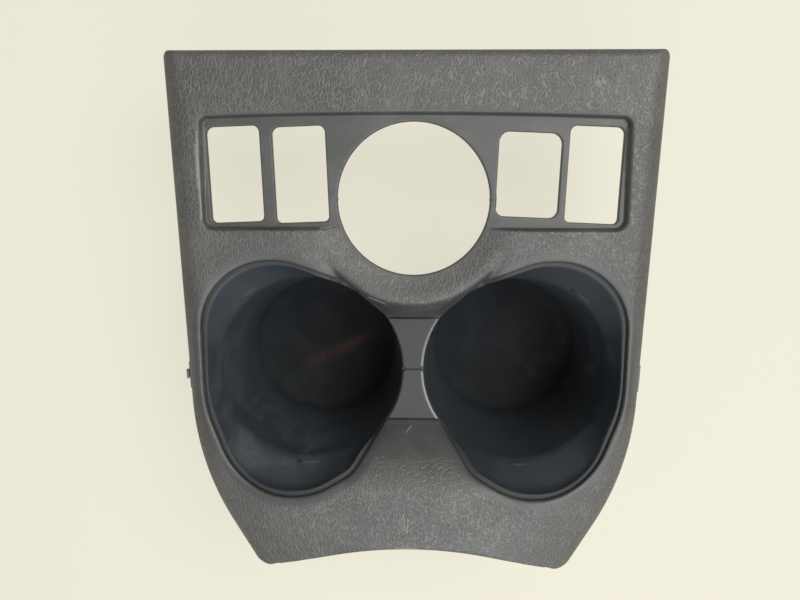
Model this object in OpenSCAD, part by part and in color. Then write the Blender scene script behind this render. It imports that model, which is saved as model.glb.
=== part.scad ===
// Console cup holder: a grained finisher panel with a switch recess, a knob
// hole and a twin cup opening, and a dark twin cup insert screwed up under it.
// The cups open upwards and the part stands on the flat bases of the cups.
// X is the width, Y runs to the front edge and Z is up.

/* [Panel] */
// Width of the panel in front of the switch recess
front_band = 25.4; // [20:0.2:30]
// Width of the panel beside the switch recess, measured at the front edge
recess_side = 15.8; // [13:0.1:20]
// Width of the panel beside the opening, at the line through the cups
side_band = 6.85; // [5:0.05:10]
// Width of the panel behind the opening, at the middle of the arch
rear_band = 20.5; // [18:0.1:26]
// Distance from the rear of the opening forwards to the knee of each side
knee_ahead = 8.9; // [6:0.1:12]
// Angle between each cut rear corner and the length of the panel
corner_angle = 30.5; // [28:0.5:32]
// Radius of the arch in the rear edge
arch_r = 160; // [145:1:200]
// Wall thickness of the panel
wall = 2.5; // [2:0.1:3]
// Height of the skirt below the flat top
skirt_h = 16; // [15:0.5:20]
// Radius of the roll where the skirt turns into the shoulder
roll_r = 8; // [6:0.5:9]
// Width of the shoulder between the skirt and the flat top
shoulder_w = 5.5; // [4:0.1:6]
// Fall of the top towards the front edge
front_fall = 1.4; // [0.8:0.1:2]
// Distance from the cup line back to where the apron starts to rise
apron_back = 22; // [18:0.5:26]
// Slope of the apron behind the cups
apron_slope = 12; // [9:0.5:14]

/* [Switch recess] */
// Rise of the bowed front wall of the recess over its corners
recess_bow = 1.6; // [0.8:0.1:2.4]
// Depth of the recess floor below the flat top
recess_depth = 2.8; // [2:0.1:3.4]
// Diameter of the knob hole
knob_d = 58.6; // [50:0.2:66]
// Distance from the knob hole to the front wall of the recess
knob_edge = 1; // [0.6:0.1:4]
// Width of the flat ring round the knob hole
ring_flat = 1.9; // [1.4:0.1:2.4]
// Width of the sloped ring between the flat ring and the ridge
ring_slope = 8; // [7:0.1:8.4]

/* [Switch holes] */
// Length of the three tall switch holes
switch_len = 36.4; // [30:0.2:42]
// Width of the three tall switch holes
switch_w = 20.4; // [17:0.1:24]
// Length of the short switch hole
short_len = 32; // [28:0.2:33]
// Width of the short switch hole
short_w = 23.8; // [20:0.1:25]
// Distance from the tall switch holes to the recess's front wall
switch_front = 2.8; // [2.4:0.1:6]
// Distance from the tall switch holes to the recess's rear wall
switch_rear = 2.3; // [1.8:0.1:4]
// Distance from the outer switch holes to the side walls of the recess
switch_side = 1.9; // [1.6:0.1:4]
// Width of the bar between the two left switch holes
switch_gap = 4.8; // [3:0.1:7]
// Width of the bar between the knob hole and the switch hole on its left
knob_gap = 3.9; // [2.5:0.1:6]
// Lean of the switch holes away from the middle of the panel
switch_lean = 2.3; // [1:0.1:2.6]

/* [Valley and cup opening] */
// Drop of the valley floor below the flat top
valley_drop = 15.4; // [13:0.1:16]
// Half the length of the neck of the opening between the cups
neck_half = 21.4; // [19:0.1:24]
// Reach of the opening past each cup at its outer side
lobe_side = 3.1; // [2.6:0.1:6]
// Reach of the opening past each cup at the front
lobe_ahead = 7.8; // [6:0.1:9]
// Reach of the opening past each cup at the rear
lobe_behind = 9.7; // [8:0.1:12]
// Length of the fall from the ridge round the knob hole to the web
fall_run = 9.3; // [8:0.1:14]

/* [Cups] */
// Inside diameter of each cup at the level of the web
cup_d = 76.4; // [68:0.2:84]
// Width of the web where the cups come closest
web_w = 8.4; // [6:0.1:12]
// Narrowing of each cup's radius from the web down to its floor
cup_draft = 6.5; // [2:0.1:9]
// Depth of the cups below the web
cup_depth = 56; // [50:0.5:70]
// Radius of the fillet between a cup's wall and its floor
floor_fillet = 6; // [3:0.5:8]
// Wall thickness of the insert
insert_wall = 2; // [1.6:0.1:2.4]
// Thickness of the cup floors
floor_t = 2.2; // [1.6:0.1:3]
// Drop of the web's surface below the valley floor
web_drop = 0.6; // [0.3:0.1:1]
// Inward step from the panel's opening to the wall of the insert
rim_step = 1.5; // [1.2:0.1:1.8]
// Width of the insert's flange under the panel
flange_w = 4; // [3:0.1:5]
// Gap between the insert and the panel
seat_gap = 0.3; // [0.2:0.05:0.5]
// Width of the moulded line across the web
seam_w = 0.6; // [0.4:0.1:1]

/* [Screws] */
// Shank diameter of the screws
screw_d = 3.4; // [3:0.1:4]
// Head diameter of the screws
screw_head_d = 7.4; // [6.5:0.1:8]
// Head height of the screws
screw_head_h = 2.2; // [1.8:0.1:2.6]
// Shank length of the screws
screw_len = 10; // [8:0.5:11]
// Diameter of the screw bosses
boss_d = 7.6; // [7:0.1:8.4]
// Length of the screw bosses below the flat top
boss_drop = 13; // [12:0.5:15]
// Thickness of the ears that the screws hold
ear_t = 2.4; // [2:0.1:3]

/* [Clips] */
// Width of the spring clips
clip_w = 11; // [9:0.5:12]
// Width of the narrow tongue on each side clip
tongue_w = 3.4; // [2.6:0.1:4.4]
// Sheet thickness of the spring clips
clip_t = 0.8; // [0.6:0.1:1]
// Length of each clip's legs
clip_leg = 12; // [10:0.5:14]
// Bulge of a clip's spring leaf beside its leg
clip_bulge = 2.2; // [1.6:0.1:2.6]
// Bulge of the right side clip's tongue
tongue_bulge = 0.4; // [0.2:0.1:1]
// Bulge of the left side clip's tongue, which is sprung out
sprung_bulge = 2.3; // [1.8:0.1:2.8]
// Drop of the clip towers below the flat top
tower_drop = 22; // [20:0.5:26]

/* [Hidden] */
sides = ["left", "right"];
places = ["front", "side", "rear"];
screw_places = ["front_outer", "front_inner", "rear"];

$fn = 64;
// Turn of one facet on a rounded corner
arc_step = 9;
// Half the length of cutters and of the solids that bound the panel
far = 260;
// Depth below the web to which the bounding solids reach
deep = 90;
// Outward stand of the shoulder solids from the plan outline
proud = 0.05;
// Overlap in height of the parts of a cup, and the step between them
lap = 0.3;
step = 0.15;
// Lap of the valley's ends over the web
neck_lap = 0.2;
// Height of the cutters over the flat top
clear_up = 40;

// Heights are counted from the web's surface and lengths from the cup line
top_z = valley_drop + web_drop;
valley_z = web_drop;
recess_z = top_z - recess_depth;

// Ring round the knob hole and the recess in front of it
knob_r = knob_d / 2;
ring_in = knob_r + ring_flat;
ring_out = ring_in + ring_slope;
knob_y = neck_half - neck_lap + fall_run + ring_out;
recess_front = knob_y + knob_r + knob_edge;
recess_back = recess_front - switch_front - switch_len - switch_rear;
switch_y = recess_front - switch_front - switch_len / 2;
inner_x = knob_r + knob_gap + switch_w / 2;
outer_x = inner_x + switch_w + switch_gap;
recess_w = 2 * (outer_x + switch_w / 2 + switch_side);
short_x = (knob_r + outer_x - switch_w / 2) / 2;
front_reach = recess_front + front_band;

// Cups and the opening over them
cup_r = cup_d / 2;
cup_x = cup_r + web_w / 2;
cup_floor_r = cup_r - cup_draft;
base_z = -cup_depth - floor_t;
skirt_z = top_z - skirt_h;
neck_w_half = cup_x - sqrt(cup_r * cup_r - neck_half * neck_half) + 0.04;
lobe_out = cup_x + cup_r + lobe_side;
lobe_front = cup_r + lobe_ahead;
lobe_rear = cup_r + lobe_behind;
knee_back = lobe_rear - knee_ahead;
rear_reach = lobe_rear + rear_band;
rim_z = top_z - wall - seat_gap;

// Rounded outlines
function unit(v) = v / norm(v);
function left_of(d) = [-d.y, d.x];
function turned(v, a) = [v.x * cos(a) - v.y * sin(a), v.x * sin(a) + v.y * cos(a)];
function xy(c) = [c[0], c[1]];

// Points of the corner q between p and s, rounded to q's own radius and moved
// inwards by inset, for an outline that runs counter-clockwise
function corner_points(p, q, s, inset) =
    let (
        d1 = unit(xy(q) - xy(p)),
        d2 = unit(xy(s) - xy(q)),
        n1 = left_of(d1),
        n2 = left_of(d2),
        corner = xy(q) + inset * (n1 + n2) / (1 + n1 * n2),
        bend = atan2(d1.x * d2.y - d1.y * d2.x, d1 * d2),
        way = sign(bend),
        r = q[2] == 0 ? 0 : max(q[2] - way * inset, 0),
        centre = corner - d1 * r * tan(abs(bend) / 2) + n1 * way * r,
        steps = max(1, ceil(abs(bend) / arc_step)))
    r == 0 ? [corner]
        : [for (i = [0:steps]) centre - r * turned(n1 * way, bend * i / steps)];

function rounded(c, inset = 0) =
    let (n = len(c))
    [for (i = [0:n - 1], p = corner_points(c[(i + n - 1) % n], c[i], c[(i + 1) % n], inset)) p];

function mirrored(c) = [for (i = [len(c) - 1:-1:0]) [-c[i][0], c[i][1], c[i][2]]];

// Plan outline of the panel, from the front right corner backwards
half_w = recess_w / 2 + recess_side;
side_taper = atan((half_w - lobe_out - side_band) / front_reach);
knee = [half_w - (front_reach + knee_back) * tan(side_taper), -knee_back];
arch_c = [0, -rear_reach - arch_r];
cut_dir = [-sin(corner_angle), -cos(corner_angle)];
knee_to_arch = knee - arch_c;
cut_dot = cut_dir * knee_to_arch;
cut_len = -cut_dot - sqrt(cut_dot * cut_dot - knee_to_arch * knee_to_arch + arch_r * arch_r);
rear_corner = knee + cut_dir * cut_len;
arch_run = 10;
arch_meet = rear_corner + left_of(unit(rear_corner - arch_c)) * arch_run;
corner_r = 8;
knee_r = 110;
front_corner_r = 3;

plan_left_half = [
    [-half_w, front_reach, front_corner_r],
    [-knee.x, knee.y, knee_r],
    [-rear_corner.x, rear_corner.y, corner_r],
    [-arch_meet.x, arch_meet.y, 0],
    [-arch_meet.x + arch_run, -rear_reach - 3 * arch_run, 0]];
plan = concat(plan_left_half, mirrored(plan_left_half));
rear_y = min([for (p = rounded(plan)) if (abs(p.x) > arch_meet.x) p.y]);
cup_y = -(front_reach + rear_y) / 2;

// Cross-section of the skirt and shoulder, with its edge at X zero
shoulder_slope = 20;
crown_slope = 11;
shoulder_rise = shoulder_w * tan(45);
shoulder_run = 17;
crown_z = top_z - 1 + shoulder_run * tan(shoulder_slope);
shoulder = [
    [0, -deep, 0],
    [0, top_z - 1 - shoulder_rise, roll_r],
    [-shoulder_w, top_z - 1, roll_r],
    [-shoulder_w - shoulder_run, crown_z, 60],
    [-far, crown_z + (far - shoulder_w - shoulder_run) * tan(crown_slope), 0],
    [-far, -deep, 0]];

// Section of the whole top along the length, as Y and Z
apron_run = 70;
length_section = [
    [front_reach + proud, -deep, 0],
    [front_reach + proud, top_z - front_fall, 3.5],
    [recess_front + 4, top_z, 60],
    [-apron_back, top_z, 60],
    [-apron_back - apron_run, top_z + apron_run * tan(apron_slope), 0],
    [-apron_back - apron_run, -deep, 0]];

// Section of the panel outwards from the centre of the arch, as radius and Z
edge_rise = 4;
arch_section = [
    [arch_r, -deep, 0],
    [arch_r + far, -deep, 0],
    [arch_r + far, far, 0],
    [arch_r + far / 2, far, 0],
    [arch_r, top_z + (rear_reach - apron_back) * tan(apron_slope) - edge_rise, 5]];

// Recess for the switches, with a bowed front wall
bow_r = (pow(recess_w / 2, 2) + pow(recess_bow, 2)) / (2 * recess_bow);
recess_corners = [
    [-recess_w / 2, recess_front + recess_bow, 3],
    [-recess_w / 2, recess_back, 4],
    [recess_w / 2, recess_back, 4],
    [recess_w / 2, recess_front + recess_bow, 3]];

// Sloped ring that rises from the flat ring round the knob hole to the ridge
ring_section = [
    [-far, recess_z, 0],
    [ring_in, recess_z, 2],
    [ring_out, top_z - 0.2, 4],
    [ring_out + 14, top_z + 1.5, 0],
    [ring_out + 14, top_z + 30, 0],
    [-far, top_z + 30, 0]];

// Front end of the valley, outwards from the knob hole
ridge_w = 1.2;
fall_end = ring_out + fall_run;
valley_front_section = [
    [fall_end, valley_z - 14, 3],
    [far, valley_z - 14, 0],
    [far, top_z + clear_up, 0],
    [ring_out - 6, top_z + clear_up, 0],
    [ring_out - 6, top_z + 1.6, 0],
    [ring_out + ridge_w, top_z - 0.3, 4],
    [fall_end, valley_z - 1, 0]];

// Rear end of the valley, as Y and Z: a smooth fall and a grained ramp
fall_back = neck_half + 11.6;
ramp_back = neck_half + 24.6;
valley_limit = knob_y - 20;
valley_rear_section = [
    [valley_limit, valley_z - 14, 0],
    [valley_limit, top_z + clear_up, 0],
    [-ramp_back - 16, top_z + clear_up, 0],
    [-ramp_back, top_z + 7.6, 8],
    [-fall_back, valley_z + 13, 8],
    [-neck_half + neck_lap, valley_z - 1, 2],
    [-neck_half + neck_lap, valley_z - 14, 0]];

// Cross-section of the valley, as X and Z
valley_half = 33;
valley_section = [
    [-15, valley_z, 14],
    [15, valley_z, 14],
    [valley_half, top_z - 0.3, 12],
    [valley_half + 30, top_z + 7, 0],
    [valley_half + 30, top_z + clear_up, 0],
    [-valley_half - 30, top_z + clear_up, 0],
    [-valley_half - 30, top_z + 7, 0],
    [-valley_half, top_z - 0.3, 12]];

// Opening over one cup, on the right, counter-clockwise from the neck, whose
// corners keep their place round the cup and their bend as shares of its radius
lobe_cut = 8.8;
lobe = [
    [neck_w_half, -neck_half, 1.5],
    [cup_x - 0.492 * cup_r, -lobe_rear + lobe_cut, 0.366 * cup_r],
    [cup_x - 0.063 * cup_r, -lobe_rear, 0.785 * cup_r],
    [cup_x + 0.694 * cup_r, -lobe_rear, 0.759 * cup_r],
    [lobe_out, -0.301 * cup_r, 1.178 * cup_r],
    [lobe_out, lobe_front, 0.733 * cup_r],
    [cup_x + 0.173 * cup_r, lobe_front, 0.785 * cup_r],
    [cup_x - 0.442 * cup_r, lobe_front - lobe_cut, 0.524 * cup_r],
    [neck_w_half, neck_half, 1.5]];

// Switch holes, each with its middle in X, its size and its corner radius
switches = [
    [-outer_x, switch_len, switch_w, 2],
    [-inner_x, switch_len, switch_w, 2],
    [short_x, short_len, short_w, 3.4],
    [outer_x, switch_len, switch_w, 2]];

// Ribs under the panel, and the collar under the knob hole
rib_t = 1.6;
rib_drop = 9;
rib_x = [30, half_w - 6.4];
tower_rib = 5;
collar_h = 7;
collar_gap = 1.8;

// Screws, as X and Y from the cup line on the right side
screws = [
    [lobe_out - 3.2, lobe_front + 1.5],
    [neck_w_half + 2.1, neck_half + 12.7],
    [cup_x + 1.6, -lobe_rear - 9.1]];
ear_z = top_z - boss_drop;
// Height of the ears' undersides, and the radius of the screws' bores
head_z = ear_z - ear_t;
boss_bore = screw_d / 2 + 0.02;
ear_r = boss_d / 2 + 1.4;
arm_half = ear_r - 0.8;
web_t = insert_wall + 1.6;
// Flange of the insert, with its reach past the opening at the sides
flange_t = insert_wall + 0.4;
flange_side = 1;

// Clips: the place of each tower's inner face
front_clip = [recess_w / 2 - 18.7, front_reach - 9.5];
side_clip_y = -1.7;
rear_clip = [24, -rear_reach + 9];
// Straight part of the skirt, below the roll, that the side clips stand on
skirt_straight = skirt_h - 1 - shoulder_rise - roll_r * tan(22.5);
side_leg = skirt_straight + clip_t - 0.3;
tower_t = 2.2;
tower_w = clip_w + 5;
// Clearance on each side of a plate that a clip is pushed on
clip_fit = 0.05;
tower_z = top_z - tower_drop;
skirt_x = half_w - (front_reach - side_clip_y) * tan(side_taper);

module along_x(points) {
    translate([-far, 0, 0])
        rotate([90, 0, 90])
        linear_extrude(2 * far)
        polygon(points);
}

module along_y(points) {
    translate([0, far, 0])
        rotate([90, 0, 0])
        linear_extrude(2 * far)
        polygon(points);
}

module upright(points, z0, z1) {
    translate([0, 0, z0])
        linear_extrude(z1 - z0)
        polygon(points);
}

// Keeps the points of a section on the outer side of its axis
function off_axis(points) = [for (p = points) [max(p.x, 0), p.y]];

module mirror_pair() {
    children();
    mirror([1, 0, 0]) children();
}

// Shoulder solid along the line through a plan point, at an angle to Y
module shoulder_along(start, angle, inset) {
    translate([start.x, start.y, 0])
        rotate([0, 0, -angle])
        translate([proud, far, 0])
        rotate([90, 0, 0])
        linear_extrude(2 * far)
        polygon(rounded(shoulder, inset));
}

module recess_cut(inset) {
    intersection() {
        upright(rounded(recess_corners, -inset), recess_z - inset, top_z + 30);
        translate([0, recess_front + recess_bow - bow_r, recess_z - inset - 1])
            cylinder(r = bow_r + inset, h = 40, $fn = 128);
    }
    intersection() {
        translate([0, knob_y, 0])
            rotate_extrude($fn = 96)
            polygon(off_axis(rounded(ring_section, -inset)));
        translate([-far, knob_y - far, -deep])
            cube([2 * far, far, 2 * far]);
    }
}

module valley_cut(inset) {
    intersection() {
        translate([0, knob_y, 0])
            rotate_extrude($fn = 96)
            polygon(rounded(valley_front_section, -inset));
        along_x(rounded(valley_rear_section, -inset));
        along_y(rounded(valley_section, -inset));
    }
}

// Everything under the panel's top surface, with every face moved in by inset
module panel_form(inset) {
    difference() {
        intersection() {
            upright(rounded(plan, inset), -deep, far);
            along_x(rounded(length_section, inset));
            shoulder_along([half_w, front_reach], side_taper, inset);
            mirror([1, 0, 0])
                shoulder_along([half_w, front_reach], side_taper, inset);
            shoulder_along(knee, corner_angle, inset);
            mirror([1, 0, 0])
                shoulder_along(knee, corner_angle, inset);
            translate([arch_c.x, arch_c.y, 0])
                rotate_extrude($fn = 180)
                polygon(rounded(arch_section, inset));
        }
        recess_cut(inset);
        valley_cut(inset);
    }
}

module switch_hole(s) {
    half = [s[2] / 2, s[1] / 2];
    lean = s[0] < 0 ? switch_lean : -switch_lean;
    translate([s[0], switch_y, 0])
        rotate([0, 0, lean])
        upright(rounded([[-half.x, -half.y, s[3]], [half.x, -half.y, s[3]],
            [half.x, half.y, s[3] + 0.8], [-half.x, half.y, s[3] + 0.8]]), -deep, far);
}

module opening_cut() {
    mirror_pair()
        upright(rounded(lobe), -deep, far);
    translate([-neck_w_half - 2, -neck_half, -deep])
        cube([2 * neck_w_half + 4, 2 * neck_half, far + deep]);
}

// Runs its children at each screw of one side
module at_screws() {
    for (p = screws) translate([p.x, p.y, 0]) children();
}

// Plate that a clip is pushed on, standing on the middle of its inner face
module tower(z1) {
    translate([-tower_w / 2, 0, tower_z])
        cube([tower_w, tower_t, z1 - tower_z]);
    for (x = [-tower_w / 2, tower_w / 2 - rib_t])
        translate([x, 0, tower_z + clip_leg + 2])
            cube([rib_t, tower_t + tower_rib, z1 - tower_z - clip_leg - 2]);
}

// Ribs, bosses and towers under the panel, before they are cut to its form
module under_panel() {
    mirror_pair() {
        at_screws()
            translate([0, 0, ear_z])
            cylinder(d = boss_d, h = boss_drop + 10);
        translate([front_clip.x, front_clip.y, 0]) tower(top_z);
        translate([rear_clip.x, rear_clip.y, 0])
            rotate([0, 0, 180]) tower(top_z + 12);
        // Ribs across the front band and beside the recess
        for (x = rib_x)
            translate([x - rib_t / 2, recess_front + 4, top_z - rib_drop])
                cube([rib_t, far, rib_drop]);
        translate([ring_in + 22, recess_back - rib_t - 1.5, top_z - rib_drop])
            cube([far, rib_t, rib_drop]);
    }
    translate([-far, recess_front + 5.5, top_z - rib_drop])
        cube([2 * far, rib_t, rib_drop]);
    // Collar under the knob hole
    translate([0, knob_y, recess_z - collar_h])
        difference() {
            cylinder(r = knob_r + collar_gap + rib_t, h = collar_h, $fn = 96);
            translate([0, 0, -1])
                cylinder(r = knob_r + collar_gap, h = collar_h + 2, $fn = 96);
        }
}

module bezel() {
    color("dimgray")
    translate([0, cup_y, -base_z])
    difference() {
        union() {
            difference() {
                panel_form(0);
                panel_form(wall);
                translate([-far, -far, -deep - 1])
                    cube([2 * far, 2 * far, deep + 1 + skirt_z]);
            }
            intersection() {
                panel_form(wall / 2);
                under_panel();
            }
        }
        opening_cut();
        for (s = switches) switch_hole(s);
        translate([0, knob_y, -deep])
            cylinder(r = knob_r, h = far, $fn = 96);
        mirror_pair()
            at_screws()
            translate([0, 0, ear_z - 1])
            cylinder(r = boss_bore, h = screw_len - ear_t + 1.6);
    }
}

// Inside of one cup, from the floor to above the rim
module cup_space() {
    translate([cup_x, 0, 0])
        rotate_extrude($fn = 96)
        polygon(off_axis(rounded([
            [-far, -cup_depth, 0],
            [cup_floor_r, -cup_depth, floor_fillet],
            [cup_r, 0, 0],
            [-far, 0, 0]])));
    hull() {
        translate([cup_x, 0, -lap])
            cylinder(r = cup_r + step, h = lap, $fn = 48);
        upright(rounded(lobe, rim_step), rim_z - 2 * lap, rim_z);
    }
    upright(rounded(lobe, rim_step - step), rim_z - lap, far);
}

// Outside of one cup, one wall thickness round its space
module cup_body() {
    translate([cup_x, 0, 0])
        rotate_extrude($fn = 96)
        polygon(off_axis(rounded([
            [-far, base_z, 0],
            [cup_floor_r + insert_wall, base_z, floor_fillet],
            [cup_r + insert_wall, 0, 0],
            [-far, 0, 0]])));
    hull() {
        translate([cup_x, 0, -2 * lap])
            cylinder(r = cup_r + insert_wall + step, h = lap, $fn = 48);
        upright(rounded(lobe, rim_step - insert_wall), rim_z - 2 * lap, rim_z);
    }
    upright(rounded(lobe, rim_step - insert_wall - step), rim_z - lap, rim_z + 12);
}

// Space for the insert: the panel's inside less the gap
module seat_form() {
    panel_form(wall + seat_gap);
}

// Ears of one side, each on an arm that reaches back to the cup
module ears() {
    for (p = screws) {
        arm = xy(p) - [cup_x, 0];
        arm_len = norm(arm) - cup_r - insert_wall / 2;
        translate([p.x, p.y, head_z]) {
            cylinder(r = ear_r, h = ear_t);
            rotate([0, 0, atan2(arm.y, arm.x)])
                translate([-arm_len, -arm_half, 0])
                cube([arm_len, 2 * arm_half, ear_t]);
        }
    }
}

module cup_insert() {
    color([0.17, 0.19, 0.22])
    translate([0, cup_y, -base_z])
    difference() {
        union() {
            intersection() {
                seat_form();
                union() {
                    mirror_pair() cup_body();
                    translate([-neck_w_half - 4, -neck_half - flange_w, -web_t])
                        cube([2 * neck_w_half + 8, 2 * (neck_half + flange_w), web_t]);
                }
            }
            // Flange that follows the underside of the panel
            difference() {
                intersection() {
                    seat_form();
                    mirror_pair()
                        upright(rounded(lobe, -flange_w), -insert_wall, far / 4);
                    translate([-lobe_out - flange_side, -far, -deep])
                        cube([2 * (lobe_out + flange_side), 2 * far, far]);
                }
                translate([0, 0, -flange_t])
                    panel_form(wall + seat_gap - 0.1);
                mirror_pair()
                    at_screws()
                    translate([0, 0, ear_z])
                    cylinder(r = boss_d / 2 + seat_gap, h = far);
            }
            intersection() {
                seat_form();
                mirror_pair() ears();
            }
            // Raised surface of the web, inside the neck of the opening
            translate([-neck_w_half - 4, -neck_half + seat_gap, -web_t])
                cube([2 * neck_w_half + 8, 2 * (neck_half - seat_gap), web_t]);
        }
        mirror_pair() {
            cup_space();
            at_screws()
                translate([0, 0, -deep])
                cylinder(r = boss_bore, h = far);
        }
        // Moulded line across the web, with a nick at each end
        translate([-neck_w_half - 2, -seam_w / 2, -0.5])
            cube([2 * neck_w_half + 4, seam_w, 1]);
        for (x = [-1, 1])
            translate([x * (cup_x - cup_r), 0, -1])
                cylinder(r = 1, h = 3);
    }
}

module screw() {
    color("slategray")
    translate([0, 0, head_z - screw_head_h])
    difference() {
        union() {
            cylinder(d = screw_head_d, h = screw_head_h);
            cylinder(d = screw_d, h = screw_head_h + screw_len - 1.2);
            translate([0, 0, screw_head_h + screw_len - 1.2])
                cylinder(d1 = screw_d, d2 = screw_d / 3, h = 1.2);
        }
        for (a = [0, 90])
            rotate([0, 0, a])
            translate([-screw_head_d * 0.3, -0.5, -1])
            cube([screw_head_d * 0.6, 1, 2.2]);
    }
}

// Strip of sheet along a path, with the given thickness to its left
function strip(path, t) =
    let (
        n = len(path),
        side = [for (i = [0:n - 1])
            let (
                a = i > 0 ? unit(path[i] - path[i - 1]) : unit(path[1] - path[0]),
                b = i < n - 1 ? unit(path[i + 1] - path[i]) : a,
                m = left_of(a) + left_of(b))
            path[i] + t * m / (1 + left_of(a) * left_of(b))])
    concat(path, [for (i = [n - 1:-1:0]) side[i]]);

// Spring leaf that leaves the bend of a clip at X zero and bulges to +X
module leaf(bulge, leg) {
    crown = leg * 0.42;
    polygon(strip([[clip_t + clip_fit, -clip_t], [clip_t + bulge, crown],
        [clip_t + bulge * 0.55, leg * 0.8]], clip_t));
}

// Spring clip pushed on a plate from below: a U of sheet with one or two leaves.
// The plate's inner face is at Y zero and its end rests on the clip's bend.
module clip(z0, t, leg, bulge, leaf_w, inner_leaf) {
    gap = t + 2 * clip_fit;
    color([0.3, 0.31, 0.32])
    translate([0, -clip_fit, z0 - clip_fit])
        rotate([90, 0, 90]) {
            translate([0, 0, -clip_w / 2])
                linear_extrude(clip_w)
                difference() {
                    translate([-clip_t, -clip_t]) square([gap + 2 * clip_t, leg]);
                    square([gap, leg]);
                }
            translate([0, 0, -leaf_w / 2])
                linear_extrude(leaf_w)
                union() {
                    translate([gap, 0]) leaf(bulge, leg);
                    if (inner_leaf) mirror([1, 0]) leaf(bulge, leg);
                }
        }
}

// Each clip stands on the right side and is mirrored for the left
module placed_clip(place, side) {
    translate([0, cup_y, -base_z])
        mirror([side == "left" ? 1 : 0, 0, 0])
        if (place == "front")
            translate([front_clip.x, front_clip.y, 0])
                clip(tower_z, tower_t, clip_leg, clip_bulge, clip_w, true);
        else if (place == "rear")
            translate([rear_clip.x, rear_clip.y, 0])
                rotate([0, 0, 180])
                clip(tower_z, tower_t, clip_leg, clip_bulge, clip_w, true);
        else
            translate([skirt_x - wall / cos(side_taper), side_clip_y, 0])
                rotate([0, 0, -90 - side_taper])
                clip(skirt_z, wall, side_leg, side == "left" ? sprung_bulge : tongue_bulge,
                    tongue_w, false);
}

module placed_screw(i, side) {
    translate([0, cup_y, -base_z])
        mirror([side == "left" ? 1 : 0, 0, 0])
        translate([screws[i].x, screws[i].y, 0]) screw();
}

bezel();
cup_insert();
for (p = places, s = sides)
    placed_clip(p, s);
for (i = [0:len(screw_places) - 1], s = sides)
    placed_screw(i, s);
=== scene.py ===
"""Console cup holder: a grained panel over a dark twin cup insert, on a pale table.

Lengths on the part are in millimetres. X runs from the middle of the part, Y from the line
through both cups towards the switches, and Z from the surface of the web between the cups;
to_metres() carries such places into the frame. The table, lights and camera are in metres.
"""

import math

import bpy
import numpy as np
from mathutils import Matrix, Vector
from mathutils.geometry import delaunay_2d_cdt


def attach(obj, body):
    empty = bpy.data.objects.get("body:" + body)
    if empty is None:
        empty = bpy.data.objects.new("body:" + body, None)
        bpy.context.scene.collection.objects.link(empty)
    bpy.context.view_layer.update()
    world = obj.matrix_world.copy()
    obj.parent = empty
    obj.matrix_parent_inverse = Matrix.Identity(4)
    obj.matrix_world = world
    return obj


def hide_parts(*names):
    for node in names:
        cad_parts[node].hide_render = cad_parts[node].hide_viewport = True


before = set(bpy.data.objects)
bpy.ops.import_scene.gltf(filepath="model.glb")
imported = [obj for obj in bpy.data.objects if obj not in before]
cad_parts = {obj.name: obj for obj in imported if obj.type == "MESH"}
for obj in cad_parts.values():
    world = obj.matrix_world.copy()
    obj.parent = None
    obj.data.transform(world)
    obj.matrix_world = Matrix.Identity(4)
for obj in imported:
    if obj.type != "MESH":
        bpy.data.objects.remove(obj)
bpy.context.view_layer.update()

# Panel
# The console panel, injection moulded in one piece in dark grey plastic. Its leather grain stops at the
# recess, at the valley's floor and at the cups' lips. The clips under it snap into the console.
CUP_LINE_Y = -22.98
WEB_Z = 58.2
PANEL_WALL = 2.5

# Plan: leaning sides down to a knee, a cut on to the rear corners, and an arch between them
HALF_WIDTH, FRONT_Y, FRONT_CORNER_R = 96.5, 125.4, 4.4
SIDE_LEAN, KNEE_Y, KNEE_R = math.radians(2.716), -39.0, 110
CUT_LEAN, REAR_CORNER_R = math.radians(30.5), 8
ARCH_REACH, ARCH_R = 68.4, 160.0

# Holes: corners (x, y, radius) of the right half of the cup opening, and the knob hole
NECK_CORNER = [(10.8, -21.4, 1.5)]
LOBE = [(23.6, -39.1, 14), (40, -47.9, 30), (68.9, -47.9, 29), (83.7, -11.5, 45),
        (83.7, 46, 28), (49, 46, 30), (25.5, 37.2, 20)]
FRONT_NECK_CORNER = [(10.8, 21.4, 1.5)]
KNOB_Y, KNOB_R = 69.7, 29.3

# Switch holes: middle, length, width and corner radius; they lean away from the panel's middle
SWITCHES = [(-68.6, 36.4, 20.4, 2), (-43.4, 36.4, 20.4, 2), (43.8, 32, 23.8, 3.4), (68.6, 36.4, 20.4, 2)]
SWITCH_Y, SWITCH_LEAN = 79.0, 2.3

# Recess: corners and the radius of its bowed front wall
RECESS_CORNERS = [(-80.7, 101.6, 3), (-80.7, 58.5, 4), (80.7, 58.5, 4), (80.7, 100.2, 3)]
RECESS_FRONT_Y, RECESS_BOW_R = 101.6, 2036

# Levels and straight slopes of the top, each slope as (start, height there, rise per millimetre)
SHOULDER = (0, 9.5, 1.0)
UPPER_SHOULDER = (5.5, 15, math.tan(math.radians(20)))
CROWN = (22.5, 21.19, math.tan(math.radians(11)))
FRONT_BAND = (0, 14.6, 0.0653)
APRON = (22, 16, math.tan(math.radians(12)))
ARCH_BANK = (0, 21.86, 1.832)
FIELD_Z, RECESS_Z = 16.0, 13.2
RECESS_WALL = (-0.5, RECESS_Z, 2.6)
RING_BANK, RING_CROWN = (31.2, RECESS_Z, 0.325), (39.2, 15.8, 0.121)
RING_FALL, RING_DROP = (40.4, 15.7, -0.264), (40.4, 15.7, -1.988)
RAMP_FOOT, RAMP, RAMP_HEAD = (21.2, -0.4, 1.186), (33, 13.6, 0.769), (46, 23.6, 2.03)
VALLEY_Z = 0.6
VALLEY_BANK, VALLEY_CROWN = (15, VALLEY_Z, 0.839), (33, 15.7, 0.243)
VALLEY_FRONT_Y = 49.7

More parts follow.
